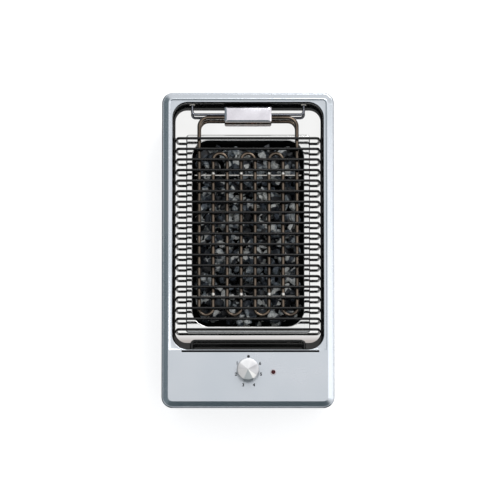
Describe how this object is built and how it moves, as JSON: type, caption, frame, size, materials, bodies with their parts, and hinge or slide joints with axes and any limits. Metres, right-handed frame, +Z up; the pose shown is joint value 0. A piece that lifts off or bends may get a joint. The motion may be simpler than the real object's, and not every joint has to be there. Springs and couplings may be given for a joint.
{
  "type": "built-in electric grill",
  "caption": "Narrow drop-in lava-rock barbecue hob: steel plate with knob and lamp, deep basin with a bar grate, folding heating element, lava tray and a housing under the worktop.",
  "frame": {"origin": "centre of the rim's seat on the worktop", "axes": "+Z up, +Y to the rear, away from the knob, +X to the right seen from the front"},
  "size_m": [0.28, 0.52, 0.128],
  "materials": {
    "brushed_plate": "satin",
    "mirror_steel": "polished",
    "black_enamel": "gloss",
    "tray_steel": "satin",
    "galvanised": "satin",
    "lava": "matte",
    "heater_sheath": "satin",
    "stainless": "satin",
    "zinc": "satin",
    "ceramic": "matte",
    "brass": "polished",
    "spun_aluminium": "satin",
    "moulding": "satin",
    "seal": "matte",
    "lens_red": "gloss",
    "bezel": "gloss",
    "lead_sleeve": "matte",
    "mains_sleeve": "matte",
    "earth_sleeve": "matte"
  },
  "bodies": {
    "housing": {"baffle_bushes": "ceramic", "basin": "black_enamel", "bottom_cover": "galvanised", "cable_grommet": "seal", "clamp_nuts": "zinc", "clamp_screws": "zinc", "cover_screws": "zinc", "earth_nut": "brass", "earth_stud": "brass", "earth_wire": "earth_sleeve", "element_leads": "lead_sleeve", "front_rest_rod": "black_enamel", "heat_baffle": "galvanised", "heat_shield": "galvanised", "hinge_glands": "ceramic", "hinge_tubes": "stainless", "housing_front_panel": "galvanised", "housing_left_panel": "galvanised", "housing_rear_panel": "galvanised", "housing_right_panel": "galvanised", "lamp_bezel": "bezel", "lamp_body": "moulding", "lamp_lens": "lens_red", "lamp_retainer": "zinc", "lamp_wires": "lead_sleeve", "lava_rocks": "lava", "lava_tray": "tray_steel", "mains_block": "ceramic", "mains_block_screws": "brass", "mains_wires": "mains_sleeve", "reflector": "mirror_steel", "regulator_blades": "brass", "regulator_case": "moulding", "regulator_cover": "zinc", "regulator_screws": "zinc", "rim_seal": "seal", "shaft_seal": "seal", "shield_spacers": "zinc", "stud_nuts": "zinc", "top_plate": "brushed_plate", "well_pan": "black_enamel"},
    "knob": {"knob_cap": "spun_aluminium", "knob_core": "moulding", "knob_clip": "zinc", "regulator_shaft": "zinc"},
    "heater": {"heating_element": "heater_sheath", "element_pins": "zinc", "front_strip": "stainless", "rear_strip": "stainless", "element_clips": "stainless", "terminal_box_body": "stainless", "terminal_box_lid": "stainless", "terminal_ceramic": "ceramic", "terminal_links": "brass", "box_screws": "zinc"},
    "grate": {"grill_grate": "black_enamel"},
    "clamp_1": {"worktop_clamp_1": "galvanised"},
    "clamp_2": {"worktop_clamp_2": "galvanised"},
    "clamp_3": {"worktop_clamp_3": "galvanised"},
    "clamp_4": {"worktop_clamp_4": "galvanised"}
  },
  "joints": [
    {"name": "knob_turn", "type": "hinge", "parent": "housing", "child": "knob", "pos_m": [0, -0.2, 0.006], "axis": [0, 0, 1], "range_deg": [0, 308.57]},
    {"name": "heater_tilt", "type": "hinge", "parent": "housing", "child": "heater", "pos_m": [0, 0.226, -0.0115], "axis": [-1, 0, 0], "range_deg": [0, 80]},
    {"name": "grate_lift", "type": "slide", "parent": "heater", "child": "grate", "axis": [0, 0, 1], "range_m": [0, 0.12]},
    {"name": "clamp_slide_1", "type": "slide", "parent": "housing", "child": "clamp_1", "axis": [0, 0, 1], "range_m": [0, 0.012]},
    {"name": "clamp_slide_2", "type": "slide", "parent": "housing", "child": "clamp_2", "axis": [0, 0, 1], "range_m": [0, 0.012]},
    {"name": "clamp_slide_3", "type": "slide", "parent": "housing", "child": "clamp_3", "axis": [0, 0, 1], "range_m": [0, 0.012]},
    {"name": "clamp_slide_4", "type": "slide", "parent": "housing", "child": "clamp_4", "axis": [0, 0, 1], "range_m": [0, 0.012]}
  ]
}
